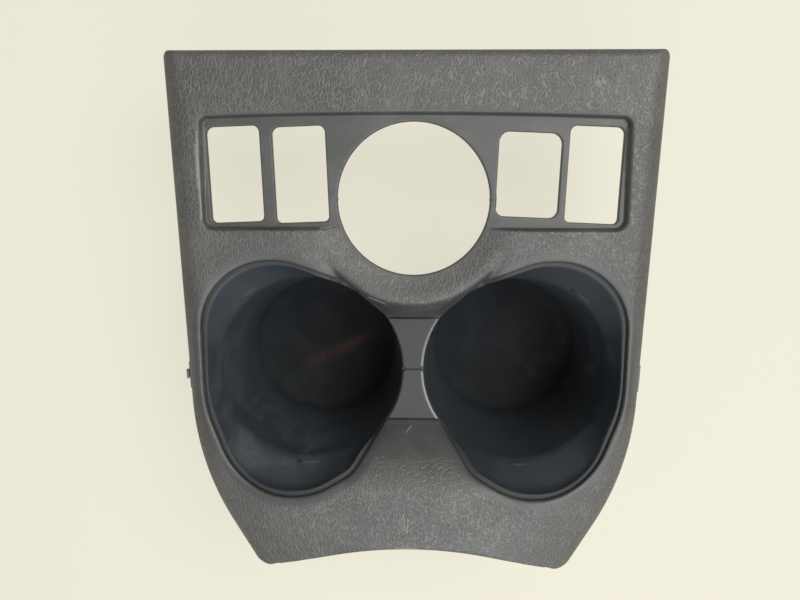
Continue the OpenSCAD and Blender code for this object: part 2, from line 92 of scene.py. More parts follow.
# Rolls of the outer edges, each as (radius, foot, distance where the slope takes over)
SHOULDER_ROLL, FRONT_ROLL, ARCH_ROLL = (8, 6.19, 2.34), (3.5, 11.32, 3.27), (5, 20.59, 0.61)

# Edges of the holes: width and drop of the lips' soft roll, then the radius of each kind of edge
LIP_ROLL, LIP_EDGE_R, KNOB_EDGE_R, SWITCH_EDGE_R = (3.6, 0.9), 0.7, 0.5, 0.35

# Screws: places on the right side of the bosses and of the insert's ears
SCREWS = [(80.5, 47.5), (12.9, 34.1), (44.0, -57.0)]
BORE_R, BOSS_R, BOSS_Z = 1.75, 3.8, 3.0

# Collar under the knob hole: its gap to the hole, its wall and the heights of its ends
COLLAR_GAP, COLLAR_WALL, COLLAR_Z = 1.8, 0.8, (6.2, 11.6)

# Below the right side: two clip towers with two ribs each, and three more ribs; one rib across
SIDE_RIBS = [((54, 115.9, -6), (70, 118.1, 13.6)), ((54, 116.1, 8), (55.6, 122.7, 13)),
             ((68.4, 116.1, 8), (70, 122.7, 13)), ((16, -61.6, -6), (32, -59.4, 21.5)),
             ((16, -66.4, 8), (17.6, -61.4, 20)), ((30.4, -66.4, 8), (32, -61.4, 20)),
             ((29.2, 104, 7), (30.8, 122.7, 12.6)), ((89.3, 104, 7), (90.9, 122.7, 12)),
             ((53.2, 55.4, 7), (87, 57, 13))]
CROSS_RIB = ((-90, 105.5, 7), (90, 107.1, 13.2))

# Scuffs and nicks: both ends and the half width
SCRATCHES = [((-82.2, 95), (-81.4, 62), 0.5), ((-82.6, 90), (-82.2, 74), 0.8),
             ((-35.7, 58.6), (-31.9, 58.9), 0.6), ((-2.9, 19.4), (-2.9, 16.4), 0.7),
             ((-2.6, -25.6), (-0.6, -23.6), 0.4), ((-3.4, -53.4), (-2.6, -59.4), 0.45),
             ((-1.4, -55.5), (-1.8, -60.7), 0.35), ((-6, -66.4), (2.2, -66.2), 0.7),
             ((-17.5, 31.7), (-11, 29.1), 0.6)]


def to_metres(points):
    """Place in the frame: (point + offsets of the cup line and of the web) / 1000."""
    return (np.asarray(points, float) + [0.0, CUP_LINE_Y, WEB_Z]) / 1000.0


def new_piece(name, points, faces):
    """Smooth object at the origin, from points in mm and a list of arrays of face indices."""
    mesh = bpy.data.meshes.new(name)
    corners = np.concatenate([f.ravel() for f in faces]).astype(np.int32)
    sizes = np.concatenate([np.full(len(f), f.shape[1]) for f in faces]).astype(np.int32)
    starts = np.concatenate([[0], np.cumsum(sizes)[:-1]]).astype(np.int32)
    mesh.vertices.add(len(points))
    mesh.vertices.foreach_set("co", to_metres(points).astype(np.float32).ravel())
    mesh.loops.add(len(corners))
    mesh.loops.foreach_set("vertex_index", corners)
    mesh.polygons.add(len(sizes))
    mesh.polygons.foreach_set("loop_start", starts)
    mesh.polygons.foreach_set("use_smooth", np.full(len(sizes), True))
    mesh.update(calc_edges=True)
    mesh.validate()
    piece = bpy.data.objects.new(name, mesh)
    bpy.context.scene.collection.objects.link(piece)
    return piece


def point_attribute(piece, name, values):
    """Float value per point of a piece, for the masks of its material."""
    layer = piece.data.attributes.new(name, "FLOAT", "POINT")
    layer.data.foreach_set("value", np.asarray(values, np.float32))


def joined(parts):
    """One set of points and faces from (points, [faces]) parts: indices move past the points before."""
    points, faces, count = [], [], 0
    for part_points, part_faces in parts:
        points.append(part_points)
        faces += [f + count for f in part_faces]
        count += len(part_points)
    return np.concatenate(points), faces


def rounded(corners, inset=0.0, step=4.0):
    """Ring with an arc at each corner (x, y, r), one point per step degrees.

    Centre of an arc: corner - r tan(bend / 2) along the side before it + r along that side's normal.
    """
    out = []
    n = len(corners)
    for i in range(n):
        p, q, s = (np.array(corners[j % n][:2], float) for j in (i - 1, i, i + 1))
        d1, d2 = (q - p) / np.linalg.norm(q - p), (s - q) / np.linalg.norm(s - q)
        n1, n2 = np.array([-d1[1], d1[0]]), np.array([-d2[1], d2[0]])
        corner = q + inset * (n1 + n2) / (1 + n1 @ n2)
        bend = math.atan2(d1[0] * d2[1] - d1[1] * d2[0], d1 @ d2)
        way = 1.0 if bend > 0 else -1.0
        r = max(corners[i][2] - way * inset, 0.0) if corners[i][2] else 0.0
        if r == 0:
            out.append([corner])
            continue
        centre = corner - d1 * r * math.tan(abs(bend) / 2) + n1 * way * r
        a = np.linspace(0, bend, max(2, math.ceil(math.degrees(abs(bend)) / step)) + 1)[:, None]
        out.append(centre - way * r * (n1 * np.cos(a) + np.array([-n1[1], n1[0]]) * np.sin(a)))
    return np.concatenate(out)


def resampled(ring, spacing):
    """Ring with its long sides cut, so that no side is longer than the spacing."""
    out = []
    for a, b in zip(ring, np.roll(ring, -1, axis=0)):
        n = max(1, math.ceil(np.linalg.norm(b - a) / spacing))
        out.append(a + (b - a) * np.arange(n)[:, None] / n)
    return np.concatenate(out)


def leant_rectangle(middle, length, width, r):
    """Switch hole: a rectangle of four arcs, turned away from the panel's middle."""
    w, h = width / 2, length / 2
    ring = rounded([(-w, -h, r), (w, -h, r), (w, h, r + 0.8), (-w, h, r + 0.8)], step=8)
    a = math.radians(SWITCH_LEAN if middle < 0 else -SWITCH_LEAN)
    turned = np.array([[math.cos(a), -math.sin(a)], [math.sin(a), math.cos(a)]])
    return ring @ turned.T + [middle, SWITCH_Y]


def side_of(points, ring):
    """Distance of points to a closed ring, negative inside it.

    The nearest foot on a side a to b lies at t = clamp((p - a).(b - a) / |b - a|^2), and an odd count
    of sides crossed towards +X puts a point inside.
    """
    a, b = ring, np.roll(ring, -1, axis=0)
    e = b - a
    ee = (e * e).sum(1)
    dist = np.empty(len(points))
    inside = np.zeros(len(points), bool)
    batch = 4000
    for i in range(0, len(points), batch):
        p = points[i:i + batch, None, :]
        t = np.clip(((p - a) * e).sum(2) / ee, 0, 1)
        gap = p - a - t[..., None] * e
        dist[i:i + batch] = np.sqrt((gap * gap).sum(2).min(1))
        across = (a[:, 1] > p[..., 1]) != (b[:, 1] > p[..., 1])
        x = a[:, 0] + (p[..., 1] - a[:, 1]) * e[:, 0] / np.where(e[:, 1] == 0, 1e-9, e[:, 1])
        inside[i:i + batch] = ((across & (p[..., 0] < x)).sum(1) % 2) == 1
    return np.where(inside, -dist, dist)


def loop_offset(ring, distance):
    """Ring moved to its left by a distance along the mean normal of its two sides."""
    e = np.roll(ring, -1, axis=0) - ring
    n = np.stack([-e[:, 1], e[:, 0]], 1) / np.linalg.norm(e, axis=1)[:, None]
    m = n + np.roll(n, 1, axis=0)
    m /= np.maximum(np.linalg.norm(m, axis=1)[:, None], 1e-9)
    return ring + distance * m


def fade(v, low, high):
    """Smooth step from 0 at low to 1 at high: u^2 (3 - 2 u)."""
    u = np.clip((v - low) / (high - low), 0, 1)
    return u * u * (3 - 2 * u)


def soft_min(a, b, blend):
    """Smaller of a and b, rounded over a blend: b (1 - h) + a h - blend h (1 - h).

    h is 0.5 + (b - a) / (2 blend), held between 0 and 1.
    """
    h = np.clip(0.5 + 0.5 * (b - a) / blend, 0, 1)
    return b * (1 - h) + a * h - blend * h * (1 - h)


def soft_max(a, b, blend):
    """Greater of a and b, rounded over a blend: the soft minimum of both with their signs turned."""
    return -soft_min(-np.asarray(a, float), -np.asarray(b, float), blend)


def slope(t, start, height, rise):
    """Straight slope: height + rise (t - start)."""
    return height + rise * (t - start)


def rolled(t, r, foot, end, straight):
    """Edge in profile: a roll foot + sqrt(r^2 - (r - t)^2) up to its end, and then a straight slope."""
    t = np.maximum(t, 0)
    roll = foot + np.sqrt(np.maximum(r * r - (r - np.minimum(t, r)) ** 2, 0))
    return np.where(t < end, roll, slope(t, *straight))


def line_side(points, start, lean):
    """Distance inwards from a line through start that leans from Y, on the right side."""
    return (start - points) @ np.array([math.cos(lean), -math.sin(lean)])


SLOPE_STEP = 0.05
knee = np.array([HALF_WIDTH - (FRONT_Y - KNEE_Y) * math.tan(SIDE_LEAN), KNEE_Y])
arch_centre = np.array([0.0, -ARCH_REACH - ARCH_R])


def panel_height(p):
    """Height of the panel's top over plan points, before its edges are rolled.

    Soft minimum of the side shoulders, the front edge with the apron, the arch's bank, the recess, the
    sloped ring round the knob hole and the valley, each a profile over its own distance.
    """
    x, y = np.abs(p[:, 0]), p[:, 1]
    right = np.stack([x, y], 1)
    from_side = soft_min(line_side(right, np.array([HALF_WIDTH, FRONT_Y]), SIDE_LEAN),
                         line_side(right, knee, CUT_LEAN), blend=13.0)
    z = rolled(from_side, *SHOULDER_ROLL, SHOULDER)
    d = np.maximum(from_side, 0)
    z = soft_min(z, slope(d, *UPPER_SHOULDER), blend=1.6)
    z = soft_min(z, slope(d, *CROWN), blend=1.2)
    length = soft_min(rolled(FRONT_Y - y, *FRONT_ROLL, FRONT_BAND), FIELD_Z, blend=0.25)
    length = soft_max(length, np.where(y < 30, slope(-y, *APRON), 0), blend=1.6)
    z = soft_min(z, length, blend=1.5)
    from_arch = np.hypot(x, y - arch_centre[1]) - ARCH_R
    z = soft_min(z, rolled(from_arch, *ARCH_ROLL, ARCH_BANK), blend=1.6)
    from_recess = np.maximum(side_of(p, recess_ring), RECESS_WALL[0])
    z = soft_min(z, soft_max(slope(from_recess, *RECESS_WALL), RECESS_Z, blend=0.7), blend=1.7)
    r = np.hypot(x, y - KNOB_Y)
    ring = soft_max(RECESS_Z, slope(r, *RING_BANK), blend=0.5)
    ring = soft_min(ring, slope(r, *RING_CROWN), blend=0.8)
    z = soft_min(z, np.where(y < KNOB_Y, ring, 99), blend=0.8)
    fall = soft_min(slope(r, *RING_FALL), slope(r, *RING_DROP), blend=2.2)
    ramp = soft_min(slope(-y, *RAMP_FOOT), slope(-y, *RAMP), blend=2.0)
    ramp = soft_max(ramp, slope(-y, *RAMP_HEAD), blend=2.4)
    across = soft_max(VALLEY_Z, slope(x, *VALLEY_BANK), blend=4.0)
    across = soft_min(across, slope(x, *VALLEY_CROWN), blend=3.0)
    valley = soft_max(soft_max(fall, ramp, blend=2.0), across, blend=2.5)
    return soft_min(z, np.where(y > VALLEY_FRONT_Y, 99, valley), blend=2.2)


def steepness(p):
    """Slope of the panel's top along X and along Y, from its height a step either side of a point."""
    e = SLOPE_STEP
    return ((panel_height(p + [e, 0]) - panel_height(p - [e, 0])) / (2 * e),
            (panel_height(p + [0, e]) - panel_height(p - [0, e])) / (2 * e))


def lip_fall(s, width, drop):
    """Soft roll towards an edge at distance s: drop (1 - s / width)^2."""
    return drop * np.clip(1 - s / width, 0, 1) ** 2


def arc_fall(s, r):
    """Quarter round of radius r at an edge at distance s: r - sqrt(r^2 - (r - s)^2)."""
    u = np.clip(r - s, 0, r)
    return r - np.sqrt(r * r - u * u)


def strip(upper, lower):
    """Quads between two rings of indices that run the same way."""
    return np.stack([upper, lower, np.roll(lower, -1), np.roll(upper, -1)], 1)


def boxes(corners):
    """Closed boxes from (low corner, high corner) pairs: low + unit cube (high - low), six quads each."""
    unit = np.array([[x, y, z] for z in (0, 1) for y in (0, 1) for x in (0, 1)], float)
    quads = np.array([[0, 2, 3, 1], [4, 5, 7, 6], [0, 1, 5, 4], [2, 6, 7, 3], [0, 4, 6, 2], [1, 3, 7, 5]])
    low, high = np.array(corners, float).transpose(1, 0, 2)
    points = low[:, None, :] + unit * (high - low)[:, None, :]
    return points.reshape(-1, 3), [(quads + 8 * np.arange(len(low))[:, None, None]).reshape(-1, 4)]


def tube(centre, r_in, r_out, z0, z1, sides=32):
    """Closed upright tube: four rings, two of each radius, joined by quads."""
    a = np.linspace(0, 2 * math.pi, sides + 1)[:-1]
    around = np.stack([np.cos(a), np.sin(a)], 1)
    corners = [(r_out, z0), (r_out, z1), (r_in, z1), (r_in, z0)]
    points = np.concatenate([np.column_stack([around * r + centre, np.full(sides, z)]) for r, z in corners])
    index = np.arange(4 * sides).reshape(4, sides)
    quads = [np.stack([near, np.roll(near, -1), np.roll(far, -1), far], 1)
             for near, far in zip(index, np.roll(index, -1, axis=0))]
    return points, quads


# Plan and holes, as lines of few points for distances and as evenly spaced rings for the mesh
cut_way = np.array([-math.sin(CUT_LEAN), -math.cos(CUT_LEAN)])
knee_out = knee - arch_centre
towards = cut_way @ knee_out
rear_corner = knee + cut_way * (-towards - math.sqrt(towards ** 2 - knee_out @ knee_out + ARCH_R ** 2))
outwards = (rear_corner - arch_centre) / ARCH_R
arch_meet = rear_corner + 10 * np.array([-outwards[1], outwards[0]])
arch_half = math.asin(arch_meet[0] / ARCH_R)
half_plan = rounded([(0, FRONT_Y, 0), (0, -80, 0), (*arch_meet, 0), (*rear_corner, REAR_CORNER_R),
                     (*knee, KNEE_R), (HALF_WIDTH, FRONT_Y, FRONT_CORNER_R)], step=3)
half_plan = half_plan[half_plan[:, 0] > 1]
arch_turn = np.linspace(-arch_half, arch_half, 90)[1:-1]
arch_points = arch_centre + ARCH_R * np.stack([np.sin(arch_turn), np.cos(arch_turn)], 1)
plan_line = np.concatenate([half_plan, (half_plan * [-1, 1])[::-1], arch_points])
plan = resampled(plan_line, 1.1)

right_lobe = NECK_CORNER + LOBE + FRONT_NECK_CORNER
opening_line = rounded(right_lobe + [(-x, y, r) for x, y, r in right_lobe[::-1]])
opening = resampled(opening_line, 1.0)
turn = np.linspace(0, 2 * math.pi, 185)[:-1]
knob_hole = np.array([0, KNOB_Y]) + KNOB_R * np.stack([np.cos(turn), np.sin(turn)], 1)
switch_lines = [leant_rectangle(*size) for size in SWITCHES]
switch_holes = [resampled(ring, 1.0) for ring in switch_lines]

bow_x = np.linspace(79, -79, 40)
recess_front = np.stack([bow_x, RECESS_FRONT_Y - bow_x ** 2 / (2 * RECESS_BOW_R)], 1)
recess_ring = rounded(RECESS_CORNERS, step=9)
recess_ring = np.concatenate([recess_ring[recess_ring[:, 1] < 99], recess_front])

# Mesh points of the top: the rings, loops close to every edge, and a triangular grid between them
small_lines = [knob_hole] + switch_lines
rings = [plan, opening, knob_hole] + switch_holes
loops = [loop_offset(plan, d) for d in (0.25, 0.7, 1.4, 2.3)]
loops += [loop_offset(opening, -d) for d in (0.15, 0.4, 0.8, 1.4, 2.2)]
loops += [loop_offset(ring, -d) for ring in rings[2:] for d in (0.15, 0.4, 0.9)]
for d in (1.1, 0.8, 0.5, 0.2, -0.1, -0.5, -0.9, -1.4, -2.0):
    loop = resampled(loop_offset(recess_ring, d), 1.2)
    clear = side_of(loop, knob_hole) > 1.5
    for ring in switch_lines:
        clear &= side_of(loop, ring) > 1.3
    loops.append(loop[clear])
grid_step = 0.95
row_x = np.arange(-98, 98, grid_step)
grid = np.concatenate([np.stack([row_x + (i % 2) * grid_step / 2, np.full(len(row_x), y)], 1)
                       for i, y in enumerate(np.arange(-82, 128, grid_step * 0.866))])
grid = grid[(side_of(grid, plan_line) < -2.9) & (side_of(grid, opening_line) > 2.8)]
grid = grid[np.abs(side_of(grid, recess_ring) - 0.45) > 2.0]
for ring in small_lines:
    grid = grid[side_of(grid, ring) > 1.4]
flat = np.concatenate(rings + loops + [grid])
ring_starts = np.concatenate([[0], np.cumsum([len(ring) for ring in rings])])
ring_index = [start + np.arange(len(ring)) for start, ring in zip(ring_starts, rings)]
edges = np.concatenate([np.stack([index, np.roll(index, -1)], 1) for index in ring_index])
top_xy, _, tris, origin, _, _ = delaunay_2d_cdt(
    [Vector(p) for p in flat.tolist()], edges.tolist(), [], 0, 1e-5, True)
top_xy, tris = np.array([v[:] for v in top_xy]), np.array(tris)
middle = top_xy[tris].mean(1)
on_panel = side_of(middle, plan_line) < 0
for ring in [opening_line] + small_lines:
    on_panel &= side_of(middle, ring) > 0
tris = tris[on_panel]
source = np.array([o[0] if len(o) else -1 for o in origin])
vertex_of = np.full(len(flat), -1)
vertex_of[source[source >= 0]] = np.flatnonzero(source >= 0)
plan_index, *hole_index = [vertex_of[index] for index in ring_index]

# Top: the height with its edges rolled. Underside: one wall down, and one wall in from the plan
from_opening = side_of(top_xy, opening_line)
from_plan = -side_of(top_xy, plan_line)
from_switch = np.min([side_of(top_xy, ring) for ring in switch_lines], axis=0)
top_z = panel_height(top_xy) - lip_fall(from_opening, *LIP_ROLL) - arc_fall(from_opening, LIP_EDGE_R)
top_z -= arc_fall(side_of(top_xy, knob_hole), KNOB_EDGE_R) + arc_fall(from_switch, SWITCH_EDGE_R)
slope_x, slope_y = steepness(top_xy)
wall_down = PANEL_WALL * np.sqrt(1 + np.minimum(slope_x ** 2 + slope_y ** 2, 2.2))
WALL_FADE = 9.0
rim = from_plan < WALL_FADE + 0.2
rim_xy, e = top_xy[rim], SLOPE_STEP
outward = np.stack([side_of(rim_xy + [e, 0], plan_line) - side_of(rim_xy - [e, 0], plan_line),
                    side_of(rim_xy + [0, e], plan_line) - side_of(rim_xy - [0, e], plan_line)], 1)
outward /= np.maximum(np.linalg.norm(outward, axis=1)[:, None], 1e-9)
low_xy = top_xy.copy()
low_xy[rim] -= outward * (PANEL_WALL * np.clip(1 - from_plan[rim] / WALL_FADE, 0, 1))[:, None]
low_z = np.minimum(top_z - 0.4, panel_height(low_xy) - wall_down)

# Shell: top and underside, the skirt's rings down to its rounded edge and up inside, and the hole walls
n_top = len(top_xy)
shell = [np.column_stack([top_xy, top_z]), np.column_stack([low_xy, low_z])]
top_ring = shell[0][plan_index]
skirt = [np.column_stack([top_ring[:, :2], top_ring[:, 2] * (1 - share)]) for share in (0.35, 0.7)]
skirt += [np.column_stack([loop_offset(plan, inward), np.full(len(plan), height)])
          for inward, height in ((0, 0.3), (0.3, 0), (PANEL_WALL - 0.3, 0), (PANEL_WALL, 0.3))]
skirt_index = 2 * n_top + np.arange(len(skirt) * len(plan)).reshape(len(skirt), len(plan))
skirt_rings = [plan_index, *skirt_index, plan_index + n_top]
shell_faces = [tris, tris[:, ::-1] + n_top]
shell_faces += [strip(a, b) for a, b in zip(skirt_rings[:-1], skirt_rings[1:])]
shell_faces += [strip(index, index + n_top)[:, ::-1] for index in hole_index]
parts = [(np.concatenate(shell + skirt), shell_faces)]

# Below: bosses for the screws, the collar round the knob hole, the towers and the ribs
for x, y in SCREWS:
    boss_top = float(panel_height(np.array([[x, y]]))[0]) - 1.2
    parts += [tube(np.array([side * x, y]), BORE_R, BOSS_R, BOSS_Z, boss_top) for side in (1, -1)]
collar_r = KNOB_R + COLLAR_GAP
parts.append(tube(np.array([0, KNOB_Y]), collar_r, collar_r + COLLAR_WALL, *COLLAR_Z, 96))
left_ribs = [((-high[0], *low[1:]), (-low[0], *high[1:])) for low, high in SIDE_RIBS]
parts.append(boxes(SIDE_RIBS + left_ribs + [CROSS_RIB]))
panel_points, panel_faces = joined(parts)
panel = new_piece("panel", panel_points, panel_faces)

# Grain: none on the lips, the recess's floor, the valley's floor and the underside
x, y = top_xy.T
lip_zone = fade(from_opening, 2.2, 4.2)
ring_zone = fade(np.hypot(x, y - KNOB_Y), 30.4, 31.4)
field_zone = np.where(y < 58.0, ring_zone, fade(side_of(top_xy, recess_ring), 0.8, 2.0))
valley_zone = 1 - (1 - fade(top_z, 5.5, 9.5)) * (np.abs(x) < 30)
ramp_zone = 1 - fade(-y, 20, 22) * (1 - fade(-y, 31.5, 34.5)) * (1 - fade(np.abs(x), 20, 26))
grain = np.zeros(len(panel_points))
grain[:n_top] = lip_zone * field_zone * valley_zone * ramp_zone
grain[plan_index] = 1
grain[skirt_index[:3]] = 1
point_attribute(panel, "grain", grain)


def new_group(name, inputs, outputs):
    """Empty shader node group with inputs (name, kind, default) and outputs (name, kind)."""
    tree = bpy.data.node_groups.new(name, "ShaderNodeTree")
    for label, kind, value in inputs:
        socket = tree.interface.new_socket(name=label, in_out="INPUT", socket_type=kind)
        if value is not None:
            socket.default_value = value
    for label, kind in outputs:
        tree.interface.new_socket(name=label, in_out="OUTPUT", socket_type=kind)
    return tree, tree.nodes.new("NodeGroupInput").outputs, tree.nodes.new("NodeGroupOutput").inputs


def feed(tree, socket, value):
    """Sets a socket to a number, a tuple or a colour, or links another socket to it."""
    if isinstance(value, bpy.types.NodeSocket):
        tree.links.new(value, socket)
    elif value is not None:
        socket.default_value = value


def math_node(tree, kind, a, b, clamp=False):
    """Math on two numbers or sockets."""
    node = tree.nodes.new("ShaderNodeMath")
    node.operation = kind
    node.use_clamp = clamp
    feed(tree, node.inputs[0], a)
    feed(tree, node.inputs[1], b)
    return node.outputs[0]


def vector_node(tree, kind, a, b=None, c=None):
    """Vector math on up to three vectors or sockets."""
    node = tree.nodes.new("ShaderNodeVectorMath")
    node.operation = kind
    for socket, value in zip(node.inputs, (a, b, c)):
        feed(tree, socket, value)
    return node.outputs


def step_node(tree, value, low, high, out_low=0.0, out_high=1.0):
    """Smooth step of a value between two limits."""
    node = tree.nodes.new("ShaderNodeMapRange")
    node.interpolation_type = "SMOOTHSTEP"
    labels = ("Value", "From Min", "From Max", "To Min", "To Max")
    for label, v in zip(labels, (value, low, high, out_low, out_high)):
        feed(tree, node.inputs[label], v)
    return node.outputs["Result"]


def noise_node(tree, vector, scale, detail=3.0, roughness=0.5, distortion=0.0):
    """Fractal noise over a vector."""
    node = tree.nodes.new("ShaderNodeTexNoise")
    labels = ("Vector", "Scale", "Detail", "Roughness", "Distortion")
    for label, v in zip(labels, (vector, scale, detail, roughness, distortion)):
        feed(tree, node.inputs[label], v)
    return node.outputs


def mixed(tree, factor, a, b):
    """Colour a where the factor is 0 and b where it is 1."""
    node = tree.nodes.new("ShaderNodeMix")
    node.data_type = "RGBA"
    feed(tree, node.inputs[0], factor)
    feed(tree, node.inputs[6], (*a, 1.0) if isinstance(a, tuple) else a)
    feed(tree, node.inputs[7], (*b, 1.0) if isinstance(b, tuple) else b)
    return node.outputs[2]


def cells_node(tree, vector, scale):
    """Distance to the nearest edge between random cells."""
    node = tree.nodes.new("ShaderNodeTexVoronoi")
    node.feature = "DISTANCE_TO_EDGE"
    feed(tree, node.inputs["Vector"], vector)
    feed(tree, node.inputs["Scale"], scale)
    return node.outputs["Distance"]


def group_node(tree, group, vector, **values):
    """A node group placed in a material, with its own values."""
    node = tree.nodes.new("ShaderNodeGroup")
    node.node_tree = group
    for label, value in dict(Vector=vector, **values).items():
        feed(tree, node.inputs[label], value)
    return node.outputs


def attribute_node(tree, name):
    """A piece's own value per point."""
    node = tree.nodes.new("ShaderNodeAttribute")
    node.attribute_name = name
    return node.outputs["Fac"]


def bump_node(tree, height, distance, strength, normal=None):
    """Normal bent by a height."""
    node = tree.nodes.new("ShaderNodeBump")
    labels = ("Height", "Distance", "Strength", "Normal")
    for label, v in zip(labels, (height, distance, strength, normal)):
        feed(tree, node.inputs[label], v)
    return node.outputs["Normal"]


def new_material(name):
    """Material with its tree, its principled shader and the object coordinates."""
    material = bpy.data.materials.new(name)
    material.use_nodes = True
    tree = material.node_tree
    place = tree.nodes.new("ShaderNodeTexCoord").outputs["Object"]
    return material, tree, tree.nodes["Principled BSDF"].inputs, place


def leather_group():
    """Leather grain: warped cells, drawn out along the panel, with small cells in patches between."""
    tree, given, out = new_group(
        "leather grain", [("Vector", "NodeSocketVector", None), ("Size", "NodeSocketFloat", 430.0)],
        [("Height", "NodeSocketFloat"), ("Vein", "NodeSocketFloat")])
    drawn = vector_node(tree, "MULTIPLY", given["Vector"], (1.0, 0.5, 0.8))[0]
    warp = noise_node(tree, drawn, 260.0, 2.0)["Color"]
    warped = vector_node(tree, "MULTIPLY_ADD", warp, (0.0013, 0.0013, 0.0013), drawn)[0]
    big = step_node(tree, cells_node(tree, warped, given["Size"]), 0.0, 0.15)
    small_size = math_node(tree, "MULTIPLY", given["Size"], 1.9)
    small = step_node(tree, cells_node(tree, warped, small_size), 0.0, 0.16)
    patch = noise_node(tree, given["Vector"], 120.0, 1.0)["Fac"]
    dip = math_node(tree, "MULTIPLY", math_node(tree, "SUBTRACT", 1.0, small),
                    step_node(tree, patch, 0.4, 0.6, 0.1, 0.4))
    feed(tree, out["Height"], math_node(tree, "SUBTRACT", big, dip, clamp=True))
    feed(tree, out["Vein"], math_node(tree, "SUBTRACT", 1.0, big, clamp=True))
    return tree


def scratch_group():
    """Scratch: distance from the plan place to a line from start to end, against its ragged width."""
    tree, given, out = new_group(
        "scratch", [("Vector", "NodeSocketVector", None), ("Start", "NodeSocketVector", (0, 0, 0)),
                    ("End", "NodeSocketVector", (0, 0, 0)), ("Width", "NodeSocketFloat", 0.0005)],
        [("Mask", "NodeSocketFloat")])
    plan_place = vector_node(tree, "MULTIPLY", given["Vector"], (1.0, 1.0, 0.0))[0]
    from_start = vector_node(tree, "SUBTRACT", plan_place, given["Start"])[0]
    whole = vector_node(tree, "SUBTRACT", given["End"], given["Start"])[0]
    share = math_node(tree, "DIVIDE", vector_node(tree, "DOT_PRODUCT", from_start, whole)["Value"],
                      vector_node(tree, "DOT_PRODUCT", whole, whole)["Value"], clamp=True)
    foot = tree.nodes.new("ShaderNodeVectorMath")
    foot.operation = "SCALE"
    feed(tree, foot.inputs[0], whole)
    feed(tree, foot.inputs["Scale"], share)
    apart = vector_node(tree, "SUBTRACT", from_start, foot.outputs[0])[0]
    widths = math_node(tree, "DIVIDE", vector_node(tree, "LENGTH", apart)["Value"], given["Width"])
    ragged = math_node(tree, "MULTIPLY", noise_node(tree, given["Vector"], 900.0, 3.0, 0.6)["Fac"], 0.9)
    feed(tree, out["Mask"], step_node(tree, math_node(tree, "ADD", widths, ragged), 0.75, 1.25, 1.0, 0.0))
    return tree


def dirt_group():
    """Loose dirt: clouds of fine specks, as strong as the amount given."""
    tree, given, out = new_group(
        "loose dirt", [("Vector", "NodeSocketVector", None), ("Amount", "NodeSocketFloat", 0.5)],
        [("Mask", "NodeSocketFloat")])
    cloud = step_node(tree, noise_node(tree, given["Vector"], 55.0, 5.0, 0.62, 0.6)["Fac"], 0.42, 0.68)
    specks = step_node(tree, noise_node(tree, given["Vector"], 1400.0, 2.0, 0.6)["Fac"], 0.35, 0.7, 0.45, 1.0)
    mask = math_node(tree, "MULTIPLY", cloud, specks)
    feed(tree, out["Mask"], math_node(tree, "MULTIPLY", mask, given["Amount"]))
    return tree


leather, scratch, dirt = leather_group(), scratch_group(), dirt_group()


def grained_plastic():
    """Dark warm grey: lighter, glossier veins, smooth bare zones, pale rough scuffs and a little dust."""
    material, tree, shader, place = new_material("grained plastic")
    grained = attribute_node(tree, "grain")
    grain = group_node(tree, leather, place, Size=720.0)
    calm = step_node(tree, noise_node(tree, place, 17.0, 2.0)["Fac"], 0.36, 0.62, 0.6, 1.0)
    vein = math_node(tree, "MULTIPLY", math_node(tree, "MULTIPLY", grain["Vein"], grained), calm)
    shade = step_node(tree, noise_node(tree, place, 24.0, 3.0, 0.5)["Fac"], 0.35, 0.65)
    base = mixed(tree, shade, (0.029, 0.0285, 0.027), (0.036, 0.0355, 0.034))
    base = mixed(tree, math_node(tree, "MULTIPLY", vein, 0.5), base, (0.082, 0.081, 0.078))
    bare = math_node(tree, "SUBTRACT", 1.0, grained)
    base = mixed(tree, math_node(tree, "MULTIPLY", bare, 0.8), base, (0.024, 0.025, 0.0255))
    worn = 0.0
    for start, end, width in SCRATCHES:
        ends = [tuple(to_metres([*spot, -WEB_Z]).tolist()) for spot in (start, end)]
        mark = group_node(tree, scratch, place, Start=ends[0], End=ends[1], Width=width * 0.001)
        worn = math_node(tree, "MAXIMUM", worn, mark["Mask"])
    worn = math_node(tree, "MULTIPLY", worn, 0.6)
    base = mixed(tree, worn, base, (0.17, 0.165, 0.155))
    dust = group_node(tree, dirt, place, Amount=0.16)["Mask"]
    feed(tree, shader["Base Color"], mixed(tree, dust, base, (0.13, 0.125, 0.11)))
    rough = math_node(tree, "SUBTRACT", 0.52, math_node(tree, "MULTIPLY", vein, 0.1))
    rough = math_node(tree, "ADD", rough, math_node(tree, "MULTIPLY", worn, 0.25))
    feed(tree, shader["Roughness"], rough)
    shader["Specular IOR Level"].default_value = 0.5
    height = math_node(tree, "MULTIPLY", grain["Height"], grained)
    normal = bump_node(tree, height, 0.00015, 0.75)
    fine = noise_node(tree, place, 2600.0, 3.0, 0.6)["Fac"]
    feed(tree, shader["Normal"], bump_node(tree, fine, 0.00004, 0.5, normal))
    return material


panel.data.materials.append(grained_plastic())
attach(panel, "root")
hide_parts("bezel")

# Cup insert
# Two tapered cups, the web between them and a flange that lies under the panel's lips, injection moulded
# in one piece in dark satin plastic. Six ears round it are screwed to the panel's bosses from below.
CUP_X, CUP_R, CUP_DEPTH, CUP_TAPER, INSERT_WALL = 42.4, 38.2, 56.0, 6.5 / 56.0, 2.0
FLOOR_R, BASE_R, FLOOR_FILLET, WALL_FOOT = 26.35, 28.1, 6.0, 50.7
MOUTH_Z = 13.2
NECK_ANGLES = (33.0, 38.0)
LIP_INSET, FLANGE_W, FLANGE_HALF, FLANGE_GAP = 1.5, 5.5, 84.6, 0.35
WEB_HALF_Y, PAD_HALF_Y, NECK_SIDE_Z = 21.1, 25.2, -1.0
RIB_Y, RIB_Z = 11.8, (-1.2, -19.0)
EAR_R, EAR_Z, ARM_HALF, ARM_Z = 5.2, (0.6, 2.98), 4.4, (0.65, 2.95)
AROUND = 288


